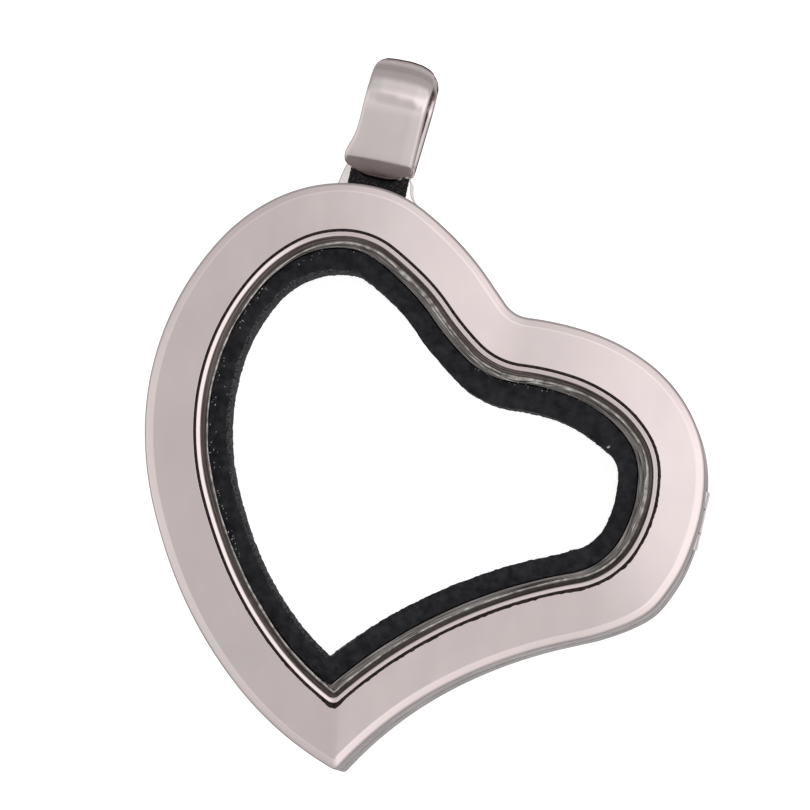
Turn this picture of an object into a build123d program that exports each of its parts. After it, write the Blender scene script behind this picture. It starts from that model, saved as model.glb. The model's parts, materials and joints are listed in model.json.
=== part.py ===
from build123d import *
import os
from math import atan2, cos, degrees, hypot, pi, radians, sin, sqrt

# Heart-shaped glass locket with a leaning tip, lying on its back with its face up.
# X runs to the right of the face, Y runs up towards the bail and Z runs out of the face.
# All lengths are millimetres. The heart is drawn first, clockwise, from its tip.

# Case
heart_width = 30.0
case_thickness = 7.0
split_gap = 0.06
outer_edge_round = 0.28
tip_round = 0.32

# Rim of each half, from the outline inwards. The rim's width is that on its left side.
rim_width = 2.52
groove_width = 0.16
groove_depth = 0.25
lip_width = 0.30
lip_bevel = 0.12
ledge_width = 0.47

# Panes of glass, set into the face and the back
glass_recess = 0.5
glass_thickness = 0.8
glass_clearance = 0.05

# Black magnet strips, cut and glued in by hand, so each sits a little to one side
ring_width = 1.1
ring_clearance = 0.05
ring_face_gap = 0.03
front_ring_shift = (-0.30, 0.05)
back_ring_shift = (-0.42, 0.10)

# Hinge on the right-hand side
hinge_normal_angle = -13.0
hinge_inset = 0.38
hinge_length = 3.2
door_knuckle_length = 1.2
knuckle_gap = 0.1
knuckle_radius = 0.5
pin_radius = 0.25
pin_press_clearance = 0.01
pin_running_clearance = 0.04
swing_clearance = 0.2
relief_radius = 0.47
relief_length = 5.6

# Bail, a teardrop loop seen from the side, on a neck that is one piece with the back half
bail_place_angle = 76.5
bail_normal_angle = 78.0
bail_height = 7.3
bail_foot_gap = 0.68
bail_top_radius = 2.3
bail_foot_radius = 1.45
bail_strap_thickness = 0.8
bail_top_width = 3.5
bail_foot_width = 3.85
bail_foot_sag = 0.4
bail_corner_round = 0.9
bail_trim_margin = 0.12  # the side trim passes clear of the loop's top and foot
bail_edge_round = 0.22
neck_width = 3.3
neck_shift = -0.2
neck_flare = 0.85
neck_low = 0.5
neck_high = 3.0

# Corner points of the outline: x and y as shares of the heart's width, and the heading in degrees
# of the outline as it passes. Each stretch between two of them is a pair of tangent arcs.
# Then, at the same place, the width of the rim as a share of rim_width, and of the strip behind
# the front and the back pane as shares of ring_width.
outline_stations = (
    ("tip", -0.1329, -0.5347, 150.7, 1.084, 1.077, 0.985),
    ("flank", -0.4203, -0.1902, 111.5, 1.072, 0.988, 0.868),
    ("left", -0.4753, 0.0718, 90.0, 1.046, 1.055, 0.967),
    ("shoulder", -0.3455, 0.4099, 48.0, 1.025, 0.911, 0.783),
    ("top", -0.1230, 0.5143, 0.0, 0.992, 1.147, 0.981),
    ("slope", 0.0254, 0.4639, -39.2, 1.015, 1.042, 0.891),
    ("cleft_in", 0.1409, 0.3388, -56.3, 0.992, 1.007, 0.920),
    ("cleft_out", 0.2106, 0.2705, -7.4, 0.998, 1.246, 1.121),
    ("lobe", 0.4253, 0.1886, -37.8, 1.007, 1.277, 1.140),
    ("right", 0.5247, -0.0081, -90.0, 0.943, 0.941, 0.815),
    ("waist", 0.3124, -0.3018, -170.8, 1.035, 0.976, 0.843),
    ("tip_again", -0.1329, -0.5347, -132.1, 0.941, 1.080, 0.889),
)
station_names = [station[0] for station in outline_stations]
rim_widths = [rim_width * station[4] for station in outline_stations]
front_strip_widths = [ring_width * station[5] for station in outline_stations]
back_strip_widths = [ring_width * station[6] for station in outline_stations]


def on_arc(arc, heading, inset=0.0):
    """The point of an arc where the outline has this heading, moved inwards by the inset."""
    centre_x, centre_y, radius = arc[:3]
    reach = radius + inset
    return (centre_x + reach * sin(heading), centre_y - reach * cos(heading))


def arc_from(start, heading, end):
    """The arc that leaves the start at this heading and ends at the end."""
    run = (end[0] - start[0], end[1] - start[1])
    half_turn = atan2(run[1], run[0]) - heading
    half_turn = (half_turn + pi) % (2 * pi) - pi
    radius = hypot(*run) / (2 * sin(half_turn))
    centre = (start[0] - radius * sin(heading), start[1] + radius * cos(heading))
    return (*centre, radius, heading, heading + 2 * half_turn)


def tangent_pair(start, start_heading, end, end_heading):
    """Two arcs that join the stations and are tangent to both headings and to each other."""
    along_start = (cos(start_heading), sin(start_heading))
    along_end = (cos(end_heading), sin(end_heading))
    run = (end[0] - start[0], end[1] - start[1])
    along_both = run[0] * (along_start[0] + along_end[0]) + run[1] * (along_start[1] + along_end[1])
    spread = 2 * (1 - cos(start_heading - end_heading))
    reach = (sqrt(along_both**2 + spread * (run[0] ** 2 + run[1] ** 2)) - along_both) / spread
    middle = tuple(
        (start[i] + end[i] + reach * (along_start[i] - along_end[i])) / 2 for i in range(2)
    )
    first = arc_from(start, start_heading, middle)
    return [first, arc_from(middle, first[4], end)]


def outline_pairs(insets):
    """The pairs of arcs of a heart that lies inside the outline by its own inset at each station."""
    places = []
    for (_, x, y, heading, *_), inset in zip(outline_stations, insets):
        turn = radians(heading)
        place = (x * heart_width + inset * sin(turn), y * heart_width - inset * cos(turn))
        places.append((place, turn))
    return [tangent_pair(*here, *there) for here, there in zip(places, places[1:])]


def joined(pairs):
    """All the arcs of a heart in one list, from its tip and back to it."""
    return [arc for pair in pairs for arc in pair]


outer_pairs = outline_pairs([0.0] * len(outline_stations))
outer_arcs = joined(outer_pairs)
inner_arcs = joined(outline_pairs(rim_widths))


def heading_at(arc, inset, point, near):
    """The heading at which the inset arc passes the point, close to a known heading."""
    reach = arc[2] + inset
    heading = atan2((point[0] - arc[0]) / reach, -(point[1] - arc[1]) / reach)
    return near + (heading - near + pi) % (2 * pi) - pi


def tip_of(arcs, inset):
    """Where the first and the last inset arc cross, which is the tip of the inset heart."""
    first, last = arcs[0], arcs[-1]
    apart = (last[0] - first[0], last[1] - first[1])
    distance = hypot(*apart)
    reach_first, reach_last = abs(first[2] + inset), abs(last[2] + inset)
    along = (reach_first**2 - reach_last**2 + distance**2) / (2 * distance)
    across = sqrt(reach_first**2 - along**2)
    crossings = [
        (
            first[0] + (along * apart[0] - side * across * apart[1]) / distance,
            first[1] + (along * apart[1] + side * across * apart[0]) / distance,
        )
        for side in (1, -1)
    ]
    tip = on_arc(first, first[3], inset)
    return min(crossings, key=lambda point: hypot(point[0] - tip[0], point[1] - tip[1]))


def heart_face(arcs, inset=0.0, corner_round=0.0):
    """A heart's outline moved inwards by the inset, as a flat face with its tip sharp or round."""
    tip = tip_of(arcs, inset)
    edges = []
    for arc in arcs:
        start, end = arc[3], arc[4]
        if arc is arcs[0]:
            start = heading_at(arc, inset, tip, start)
        if arc is arcs[-1]:
            end = heading_at(arc, inset, tip, end)
        points = [on_arc(arc, heading, inset) for heading in (start, (start + end) / 2, end)]
        edges.append(ThreePointArc(*points))
    face = make_face(edges)
    if corner_round:
        corner = face.vertices().sort_by_distance((*tip, 0))[0]
        face = fillet(corner, corner_round)
    return face


def slab(face, low, high, shift=(0.0, 0.0)):
    """A flat face made solid between two heights."""
    return extrude(Pos(*shift, low) * face, amount=high - low, dir=(0, 0, 1))


# Insets of the steps inside the rim, from its inner edge
lip_inset = groove_width
recess_inset = lip_inset + lip_width
pocket_inset = recess_inset + ledge_width

# Heights within one half, counted from its face at the split
half_height = (case_thickness - split_gap) / 2
level_tolerance = 0.001
glass_top = half_height - glass_recess
glass_bottom = glass_top - glass_thickness

# Where the hinge and the bail stand on the outline
split_height = case_thickness / 2
hinge_direction = radians(hinge_normal_angle)
bail_direction = radians(bail_normal_angle)
quarter_turn = pi / 2
hinge_arc = outer_pairs[station_names.index("right")][0]
hinge_edge = on_arc(hinge_arc, hinge_direction - quarter_turn, hinge_inset)
bail_arc = outer_pairs[station_names.index("top")][0]
bail_edge = on_arc(bail_arc, radians(bail_place_angle) - quarter_turn)


def rim_half(ring_shift):
    """One half of the case, with its face up and its split side at zero height."""
    half = slab(heart_face(outer_arcs, corner_round=tip_round), 0.0, half_height)
    face_edges = half.faces().sort_by(Axis.Z)[-1].outer_wire().edges()
    half = fillet(face_edges, outer_edge_round)
    groove_floor = half_height - groove_depth
    groove = slab(heart_face(inner_arcs), groove_floor, case_thickness)
    half -= groove - slab(heart_face(inner_arcs, lip_inset), groove_floor, case_thickness)
    half -= slab(heart_face(inner_arcs, recess_inset), glass_bottom, case_thickness)
    half -= slab(heart_face(inner_arcs, pocket_inset), -split_gap, case_thickness, ring_shift)
    face_level = (half_height - level_tolerance, half_height + level_tolerance)
    face_edges = half.edges().filter_by_position(Axis.Z, *face_level)
    lip_middle = Pos(0, 0, half_height) * heart_face(inner_arcs, lip_inset + lip_width / 2)
    lip_edges = [edge for edge in face_edges if lip_middle.is_inside(edge.center())]
    return chamfer(lip_edges, lip_bevel)


def place_front(shape):
    """Lifts a half, a pane or a ring on to the split plane, as the door."""
    return Pos(0, 0, split_height + split_gap / 2) * shape


def place_back(shape):
    """Turns a half, a pane or a ring over below the split plane, as the case."""
    return Pos(0, 0, split_height - split_gap / 2) * mirror(shape, about=Plane.XY)


def pane():
    """A pane of glass in its recess."""
    return slab(heart_face(inner_arcs, recess_inset + glass_clearance), glass_bottom, glass_top)


def magnet_ring(strip_widths, ring_shift):
    """A black strip that lines the pocket behind the glass, with its inner edge cut by hand."""
    outer = pocket_inset + ring_clearance
    insets = [rim + outer + strip for rim, strip in zip(rim_widths, strip_widths)]
    ring = slab(heart_face(inner_arcs, outer), 0.0, glass_bottom - ring_face_gap, ring_shift)
    opening = heart_face(joined(outline_pairs(insets)))
    return ring - slab(opening, -split_gap, case_thickness, ring_shift)


# The hinge is built along Z at its middle and then laid along its place on the outline.
hinge_plane = Plane(
    origin=(*hinge_edge, split_height),
    x_dir=(cos(hinge_direction), sin(hinge_direction), 0),
    z_dir=(-sin(hinge_direction), cos(hinge_direction), 0),
)


def hinge_rod(radius, low, high):
    """A round bar on the hinge axis between two places along it."""
    bar = Cylinder(radius, high - low, align=(Align.CENTER, Align.CENTER, Align.MIN))
    return hinge_plane * (Pos(0, 0, low) * bar)


knuckle_end = hinge_length / 2
door_knuckle_end = door_knuckle_length / 2
case_knuckle_start = door_knuckle_end + knuckle_gap
sweep_radius = knuckle_radius + swing_clearance


def add_hinge(half, own_spans, other_spans, bore_radius):
    """Clears the swing of the other half, then adds this half's own knuckles and their bore."""
    half -= hinge_rod(relief_radius, -relief_length / 2, relief_length / 2)
    for low, high in other_spans:
        half -= hinge_rod(sweep_radius, low - knuckle_gap, high + knuckle_gap)
    for low, high in own_spans:
        half += hinge_rod(knuckle_radius, low, high)
    return half - hinge_rod(bore_radius, -relief_length / 2, relief_length / 2)


door_spans = [(-door_knuckle_end, door_knuckle_end)]
case_spans = [(case_knuckle_start, knuckle_end), (-knuckle_end, -case_knuckle_start)]

# The bail stands where the outline's normal has the place angle, and leans a little more upright
# itself. Its own X runs across the strap, its Y stands up from the outline and its Z is the
# locket's Z.
bail_place = Pos(*bail_edge, 0) * Rot(0, 0, bail_normal_angle - degrees(quarter_turn))
bail_foot_centre = bail_foot_gap + bail_foot_radius
bail_top_centre = bail_height - bail_top_radius


def teardrop(shrink):
    """The side outline of the loop, two circles and their tangents, on the bail's middle plane."""
    foot = bail_foot_radius - shrink
    top = bail_top_radius - shrink
    rise = bail_top_centre - bail_foot_centre
    lean = (top - foot) / rise
    level = sqrt(1 - lean**2)
    points = []
    for centre, radius in ((bail_foot_centre, foot), (bail_top_centre, top)):
        points.append((radius * level, centre - radius * lean))
    (foot_out, foot_up), (top_out, top_up) = points
    outline = [
        Line((foot_out, foot_up), (top_out, top_up)),
        ThreePointArc((top_out, top_up), (0, bail_top_centre + top), (-top_out, top_up)),
        Line((-top_out, top_up), (-foot_out, foot_up)),
        ThreePointArc((-foot_out, foot_up), (0, bail_foot_centre - foot), (foot_out, foot_up)),
    ]
    return make_face(outline)


def bail_bar(profile, width):
    """A side outline extruded across the strap, centred on the bail's own axes."""
    side_plane = Plane(origin=(0, 0, split_height), x_dir=(0, 0, 1), z_dir=(-1, 0, 0))
    return extrude(side_plane * profile, amount=width / 2, both=True)


def bail_front_outline():
    """The strap as seen from the front, a little wider at its foot."""
    top, foot = bail_top_width / 2, bail_foot_width / 2
    low = bail_foot_gap - bail_trim_margin
    high = bail_height + bail_trim_margin
    corner_low = bail_foot_gap + bail_foot_sag
    outline = [
        ThreePointArc((-foot, corner_low), (0, low), (foot, corner_low)),
        Polyline((foot, corner_low), (top, high), (-top, high), (-foot, corner_low)),
    ]
    outline = make_face(outline)
    return fillet(outline.vertices(), bail_corner_round)


def bail_loop():
    """The strap bent into a closed teardrop, with soft edges."""
    solid = bail_bar(teardrop(0.0), 2 * bail_foot_width)
    front = extrude(bail_front_outline(), amount=case_thickness, dir=(0, 0, 1))
    solid &= front
    solid = fillet(solid.edges(), bail_edge_round)
    return solid - bail_bar(teardrop(bail_strap_thickness), 2 * bail_foot_width)


def neck():
    """The block that carries the bail on the back half, flared where it meets the rim."""
    half = neck_width / 2
    top = bail_foot_gap + bail_strap_thickness / 2
    root = -rim_width / 2
    flare = neck_flare
    low = top - flare
    turn = flare * (1 - cos(pi / 4))
    outline = [
        Line((-half - flare, root), (half + flare, root)),
        Line((half + flare, root), (half + flare, low)),
        ThreePointArc((half + flare, low), (half + turn, low + turn), (half, top)),
        Line((half, top), (-half, top)),
        ThreePointArc((-half, top), (-half - turn, low + turn), (-half - flare, low)),
        Line((-half - flare, low), (-half - flare, root)),
    ]
    block = slab(make_face(outline), neck_low, neck_high, (neck_shift, 0.0))
    return block - bail_bar(teardrop(bail_strap_thickness), 2 * bail_foot_width)


def door_frame():
    """The front half of the case, with the middle knuckle of the hinge."""
    bore = pin_radius + pin_running_clearance
    return add_hinge(place_front(rim_half(front_ring_shift)), door_spans, case_spans, bore)


def back_case():
    """The back half of the case, cast in one with the neck, the bail and two knuckles."""
    bore = pin_radius + pin_press_clearance
    half = add_hinge(place_back(rim_half(back_ring_shift)), case_spans, door_spans, bore)
    return half + bail_place * (neck() + bail_loop())


def hinge_pin():
    """The pin through the three knuckles."""
    return hinge_rod(pin_radius, -knuckle_end, knuckle_end)


pieces = {
    "back_case": back_case(),
    "door_frame": door_frame(),
    "hinge_pin": hinge_pin(),
    "front_glass": place_front(pane()),
    "back_glass": place_back(pane()),
    "front_magnet_ring": place_front(magnet_ring(front_strip_widths, front_ring_shift)),
    "back_magnet_ring": place_back(magnet_ring(back_strip_widths, back_ring_shift)),
}

# The origin is under the middle of the whole locket's footprint, where it rests on its back.
whole = Compound(list(pieces.values())).bounding_box()
to_origin = Pos(-whole.center().X, -whole.center().Y, -whole.min.Z)

os.makedirs("parts", exist_ok=True)
for name, piece in pieces.items():
    export_step(to_origin * piece, f"parts/{name}.step")

print("origin shift", to_origin.position)
print("hinge point", to_origin * Pos(*hinge_edge, split_height))
print("hinge axis", hinge_plane.z_dir)
print("bail edge", to_origin * Pos(*bail_edge, 0))
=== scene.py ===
import json
import random
from math import atan2, ceil, cos, exp, hypot, pi, radians, sin, sqrt

import bmesh
import bpy
from mathutils import Matrix, Vector


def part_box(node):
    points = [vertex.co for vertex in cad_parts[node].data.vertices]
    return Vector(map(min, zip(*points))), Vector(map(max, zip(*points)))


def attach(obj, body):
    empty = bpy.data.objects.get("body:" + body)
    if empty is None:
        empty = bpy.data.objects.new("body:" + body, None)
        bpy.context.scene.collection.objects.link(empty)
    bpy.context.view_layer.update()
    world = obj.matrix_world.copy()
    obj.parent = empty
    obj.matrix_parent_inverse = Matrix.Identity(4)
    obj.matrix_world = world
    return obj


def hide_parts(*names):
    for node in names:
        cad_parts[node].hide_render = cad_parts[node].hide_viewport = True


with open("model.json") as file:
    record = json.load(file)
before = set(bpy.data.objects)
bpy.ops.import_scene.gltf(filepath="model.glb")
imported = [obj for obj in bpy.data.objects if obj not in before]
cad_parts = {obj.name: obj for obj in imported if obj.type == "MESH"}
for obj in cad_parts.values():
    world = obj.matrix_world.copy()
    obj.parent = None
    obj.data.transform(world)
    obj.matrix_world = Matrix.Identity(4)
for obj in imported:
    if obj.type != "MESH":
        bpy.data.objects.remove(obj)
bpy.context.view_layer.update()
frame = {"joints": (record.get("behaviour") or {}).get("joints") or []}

mm = 0.001
bpy.context.scene.view_settings.view_transform = "Standard"

# Sizes of the locket in millimetres and degrees, as in the part's source
heart_width = 30.0
case_thickness = 7.0
split_gap = 0.06
rim_width = 2.52
groove_width = 0.16
lip_width = 0.30
ledge_width = 0.47
glass_recess = 0.5
glass_thickness = 0.8
glass_clearance = 0.05
ring_width = 1.1
ring_clearance = 0.05
ring_face_gap = 0.03
front_ring_shift = (-0.30, 0.05)
back_ring_shift = (-0.42, 0.10)
hinge_length = 3.2
door_knuckle_length = 1.2
knuckle_gap = 0.1
knuckle_radius = 0.5
pin_radius = 0.25
swing_clearance = 0.2
relief_radius = 0.47
relief_length = 5.6
bail_place_angle = 76.5
bail_normal_angle = 78.0
bail_height = 7.3
bail_foot_gap = 0.68
bail_top_radius = 2.3
bail_foot_radius = 1.45
bail_strap_thickness = 0.8
bail_top_width = 3.5
bail_foot_sag = 0.4
bail_corner_round = 0.9
bail_trim_margin = 0.12
neck_width = 3.3
neck_shift = -0.2
neck_low = 0.5
neck_high = 3.0

# Corner points of the outline: x and y as shares of the heart's width, and the heading in degrees
# of the outline as it passes. Each stretch between two of them is a pair of tangent arcs.
# Then, at the same place, the width of the rim as a share of rim_width, and of the strip behind
# the front and the back pane as shares of ring_width.
outline_stations = (
    ("tip", -0.1329, -0.5347, 150.7, 1.084, 1.077, 0.985),
    ("flank", -0.4203, -0.1902, 111.5, 1.072, 0.988, 0.868),
    ("left", -0.4753, 0.0718, 90.0, 1.046, 1.055, 0.967),
    ("shoulder", -0.3455, 0.4099, 48.0, 1.025, 0.911, 0.783),
    ("top", -0.1230, 0.5143, 0.0, 0.992, 1.147, 0.981),
    ("slope", 0.0254, 0.4639, -39.2, 1.015, 1.042, 0.891),
    ("cleft_in", 0.1409, 0.3388, -56.3, 0.992, 1.007, 0.920),
    ("cleft_out", 0.2106, 0.2705, -7.4, 0.998, 1.246, 1.121),
    ("lobe", 0.4253, 0.1886, -37.8, 1.007, 1.277, 1.140),
    ("right", 0.5247, -0.0081, -90.0, 0.943, 0.941, 0.815),
    ("waist", 0.3124, -0.3018, -170.8, 1.035, 0.976, 0.843),
    ("tip_again", -0.1329, -0.5347, -132.1, 0.941, 1.080, 0.889),
)
stations = {station[0]: station[1:] for station in outline_stations}
station_names = list(stations)
rim_widths = [rim_width * station[4] for station in outline_stations]
front_strip_widths = [ring_width * station[5] for station in outline_stations]
back_strip_widths = [ring_width * station[6] for station in outline_stations]

# The part's own frame has its origin under the middle of the locket, so the outline is moved
# to where the door's box starts on the left and ends at the top.
door_low, door_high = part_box("door_frame")
outline_x = door_low.x / mm - stations["left"][0] * heart_width
outline_y = door_high.y / mm - stations["top"][1] * heart_width


def on_arc(arc, heading, inset=0.0):
    """The point of an arc where the outline has this heading, moved inwards by the inset."""
    centre_x, centre_y, radius = arc[:3]
    reach = radius + inset
    return (centre_x + reach * sin(heading), centre_y - reach * cos(heading))


def arc_from(start, heading, end):
    """The arc that leaves the start at this heading and ends at the end."""
    run = (end[0] - start[0], end[1] - start[1])
    half_turn = atan2(run[1], run[0]) - heading
    half_turn = (half_turn + pi) % (2 * pi) - pi
    radius = hypot(*run) / (2 * sin(half_turn))
    centre = (start[0] - radius * sin(heading), start[1] + radius * cos(heading))
    return (*centre, radius, heading, heading + 2 * half_turn)


def tangent_pair(start, start_heading, end, end_heading):
    """Two arcs that join the stations and are tangent to both headings and to each other."""
    along_start = (cos(start_heading), sin(start_heading))
    along_end = (cos(end_heading), sin(end_heading))
    run = (end[0] - start[0], end[1] - start[1])
    along_both = run[0] * (along_start[0] + along_end[0]) + run[1] * (along_start[1] + along_end[1])
    bend = 2 * (1 - cos(start_heading - end_heading))
    reach = (sqrt(along_both**2 + bend * (run[0] ** 2 + run[1] ** 2)) - along_both) / bend
    middle = tuple(
        (start[i] + end[i] + reach * (along_start[i] - along_end[i])) / 2 for i in range(2)
    )
    first = arc_from(start, start_heading, middle)
    return [first, arc_from(middle, first[4], end)]


def outline_pairs(insets):
    """The pairs of arcs of a heart inside the outline, with its own inset at each station."""
    places = []
    for (_, x, y, heading, *_), inset in zip(outline_stations, insets):
        turn = radians(heading)
        place_x = outline_x + x * heart_width + inset * sin(turn)
        place_y = outline_y + y * heart_width - inset * cos(turn)
        places.append(((place_x, place_y), turn))
    return [tangent_pair(*here, *there) for here, there in zip(places, places[1:])]


def joined(pairs):
    """All the arcs of a heart in one list, from its tip and back to it."""
    return [arc for pair in pairs for arc in pair]


outer_pairs = outline_pairs([0.0] * len(outline_stations))
outer_arcs = joined(outer_pairs)
inner_arcs = joined(outline_pairs(rim_widths))


def heading_at(arc, inset, point, near):
    """The heading at which the inset arc passes the point, close to a known heading."""
    reach = arc[2] + inset
    heading = atan2((point[0] - arc[0]) / reach, -(point[1] - arc[1]) / reach)
    return near + (heading - near + pi) % (2 * pi) - pi


def tip_of(arcs, inset):
    """Where the first and the last inset arc cross, which is the tip of the inset heart."""
    first, last = arcs[0], arcs[-1]
    apart = (last[0] - first[0], last[1] - first[1])
    distance = hypot(*apart)
    reach_first, reach_last = abs(first[2] + inset), abs(last[2] + inset)
    along = (reach_first**2 - reach_last**2 + distance**2) / (2 * distance)
    across = sqrt(reach_first**2 - along**2)
    crossings = [
        (
            first[0] + (along * apart[0] - side * across * apart[1]) / distance,
            first[1] + (along * apart[1] + side * across * apart[0]) / distance,
        )
        for side in (1, -1)
    ]
    tip = on_arc(first, first[3], inset)
    return min(crossings, key=lambda point: hypot(point[0] - tip[0], point[1] - tip[1]))


# Points along the outline: about this far apart in millimetres, and closer in the tight turns
point_spacing = 0.36
widest_step = radians(5)
tip_steps = 8


def steps_along(arc):
    """How many stretches an arc of the outline is divided into."""
    turn = abs(arc[4] - arc[3])
    return max(2, ceil(abs(arc[2]) * turn / point_spacing), ceil(turn / widest_step))


arc_steps = [steps_along(arc) for arc in outer_arcs]


def heart_headings(arcs, inset=0.0, tip_round=0.1, fineness=1):
    """Points round an inset heart with the outline's heading at each, from beside the tip."""
    centre = tip_of(arcs, inset + tip_round)
    leave = heading_at(arcs[0], inset + tip_round, centre, arcs[0][3])
    arrive = heading_at(arcs[-1], inset + tip_round, centre, arcs[-1][4])
    found = []
    for arc, steps in zip(arcs, arc_steps):
        start = leave if arc is arcs[0] else arc[3]
        end = arrive if arc is arcs[-1] else arc[4]
        for step in range(fineness * steps):
            heading = start + (end - start) * step / (fineness * steps)
            found.append((*on_arc(arc, heading, inset), heading))
    turn = (leave - arrive) % (2 * pi) - 2 * pi
    for step in range(tip_steps):
        heading = arrive + turn * step / tip_steps
        x = centre[0] - tip_round * sin(heading)
        y = centre[1] + tip_round * cos(heading)
        found.append((x, y, heading))
    return found


def heart_loop(arcs, inset, height, tip_round, shift=(0.0, 0.0), waver=None, fineness=1):
    """The places of a loop round a heart, in metres. The waver moves each point inwards."""
    places = []
    for number, (x, y, heading) in enumerate(heart_headings(arcs, inset, tip_round, fineness)):
        more = waver[number] if waver else 0.0
        x += shift[0] + more * sin(heading)
        y += shift[1] - more * cos(heading)
        places.append(Vector((x, y, height)) * mm)
    return places


def wavering(seed, size, waves, jitter=0.0, fineness=1):
    """A smooth uneven number for each point of a loop, from a few waves round the heart."""
    chance = random.Random(seed)
    count = fineness * sum(arc_steps) + tip_steps
    parts = [(chance.uniform(0.4, 1.0), wave, chance.uniform(0, 2 * pi)) for wave in waves]
    total = sum(part[0] for part in parts)
    values = []
    for number in range(count):
        turn = 2 * pi * number / count
        smooth = sum(share * sin(wave * turn + start) for share, wave, start in parts) / total
        values.append(size * smooth + jitter * chance.uniform(-1, 1))
    return values


def between(low, high, value):
    """How far a value is from the low to the high end, from 0 to 1."""
    return max(0.0, min(1.0, (value - low) / (high - low)))


def clear_selection():
    """Leaves nothing selected, so that an operator acts on the new piece alone."""
    if bpy.context.mode != "OBJECT":
        bpy.ops.object.mode_set(mode="OBJECT")
    bpy.ops.object.select_all(action="DESELECT")


def new_piece(name):
    """Names the primitive that has just been added."""
    piece = bpy.context.active_object
    piece.name = name
    piece.data.name = name
    return piece


def work_on(piece):
    """Makes one piece the selected and active one."""
    clear_selection()
    piece.select_set(True)
    bpy.context.view_layer.objects.active = piece


def finish_mesh(piece, smooth_angle=30):
    """Turns the faces outwards and smooths what isn't a real edge."""
    work_on(piece)
    bpy.ops.object.mode_set(mode="EDIT")
    bpy.ops.mesh.select_all(action="SELECT")
    bpy.ops.mesh.normals_make_consistent(inside=False)
    bpy.ops.object.mode_set(mode="OBJECT")
    bpy.ops.object.shade_smooth_by_angle(angle=radians(smooth_angle))


def apply_modifier(piece, kind, **settings):
    """Adds a modifier with its settings and applies it."""
    work_on(piece)
    modifier = piece.modifiers.new(kind.lower(), kind)
    for setting, value in settings.items():
        setattr(modifier, setting, value)
    bpy.ops.object.modifier_apply(modifier=modifier.name)


def cut_with(piece, tool):
    """Cuts a piece with another shape and removes that shape."""
    apply_modifier(piece, "BOOLEAN", object=tool, operation="DIFFERENCE", solver="EXACT")
    bpy.data.objects.remove(tool)


def raised_plate(name, places, thickness, edge, segments):
    """A flat shape through the places, raised by its thickness, with its edges taken off."""
    clear_selection()
    bpy.ops.mesh.primitive_circle_add(vertices=len(places), radius=mm, fill_type="NGON")
    piece = new_piece(name)
    for vertex, place in zip(piece.data.vertices, places):
        vertex.co = place
    bpy.ops.object.mode_set(mode="EDIT")
    bpy.ops.mesh.select_all(action="SELECT")
    bpy.ops.mesh.extrude_region_move(TRANSFORM_OT_translate={"value": (0, 0, thickness * mm)})
    bpy.ops.object.mode_set(mode="OBJECT")
    apply_modifier(piece, "BEVEL", width=edge * mm, segments=segments, limit_method="ANGLE")
    finish_mesh(piece)
    return piece


def swept_ring(name, loops, finishes=None):
    """Extrudes a loop from place to place round a cross-section and closes it on the first.
    Each loop has a finish, the number of the material slot of the faces that lead to it.
    The attribute named sweep rolls the ring out: round X and Y along it, and Z across it."""
    finishes = finishes or [0] * len(loops)
    count = len(loops[0])
    length = sum((here - there).length for here, there in zip(loops[0], loops[0][1:]))
    clear_selection()
    bpy.ops.mesh.primitive_circle_add(vertices=count, radius=mm, fill_type="NOTHING")
    piece = new_piece(name)
    bpy.ops.object.mode_set(mode="EDIT")
    drawn = bmesh.from_edit_mesh(piece.data)
    place_layer = drawn.verts.layers.int.new("place")
    sweep_layer = drawn.verts.layers.float_vector.new("sweep")
    for number, vertex in enumerate(drawn.verts):
        turn = 2 * pi * number / count
        vertex[place_layer] = number
        vertex[sweep_layer] = Vector((cos(turn), sin(turn), 0)) * length / (2 * pi)
        vertex.co = loops[0][number]
    bpy.ops.mesh.select_all(action="SELECT")
    across = 0.0
    last_loop = loops[0]
    for loop, finish in zip(loops[1:] + loops[:1], finishes[1:] + finishes[:1]):
        across += (loop[0] - last_loop[0]).length
        last_loop = loop
        bpy.ops.mesh.extrude_edges_indiv()
        drawn = bmesh.from_edit_mesh(piece.data)
        place_layer = drawn.verts.layers.int["place"]
        sweep_layer = drawn.verts.layers.float_vector["sweep"]
        for vertex in drawn.verts:
            if vertex.select:
                vertex.co = loop[vertex[place_layer]]
                vertex[sweep_layer] = (*vertex[sweep_layer][:2], across)
                for face in vertex.link_faces:
                    face.material_index = finish
    bpy.ops.mesh.select_all(action="SELECT")
    bpy.ops.mesh.remove_doubles(threshold=0.0001 * mm)
    bpy.ops.object.mode_set(mode="OBJECT")
    piece.data.attributes.remove(piece.data.attributes["place"])
    return piece


def soft_corners(corners, steps=4):
    """A cross-section with each corner rounded over its own softness, but over less than half of
    a face, and a point just outside each rounding that keeps the flat faces flat. A corner is its
    place across, its place up, its softness and whatever goes with it."""
    widest_share = 0.4
    flat_margin = 0.2
    section = []
    for number, corner in enumerate(corners):
        across, up, softness = corner[:3]
        here = Vector((across, up))
        if softness == 0:
            section.append(tuple(corner[:2]) + tuple(corner[3:]))
            continue
        before = Vector(corners[number - 1][:2]) - here
        after = Vector(corners[(number + 1) % len(corners)][:2]) - here
        start = here + before.normalized() * min(softness, widest_share * before.length)
        end = here + after.normalized() * min(softness, widest_share * after.length)
        points = [start + (start - here) * flat_margin]
        for step in range(steps + 1):
            share = step / steps
            rest = 1 - share
            points.append(start * rest**2 + here * 2 * share * rest + end * share**2)
        points.append(end + (end - here) * flat_margin)
        section += [(point.x, point.y) + tuple(corner[3:]) for point in points]
    return section


# Finishes


def empty_material(name):
    """A material with its surface shader and the nodes it starts from."""
    material = bpy.data.materials.new(name)
    material.use_nodes = True
    nodes = material.node_tree.nodes
    return material, nodes, material.node_tree.links, nodes["Principled BSDF"]


def set_inputs(node, values):
    """Sets the inputs of a node by their names."""
    for name, value in values.items():
        node.inputs[name].default_value = value


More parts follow.
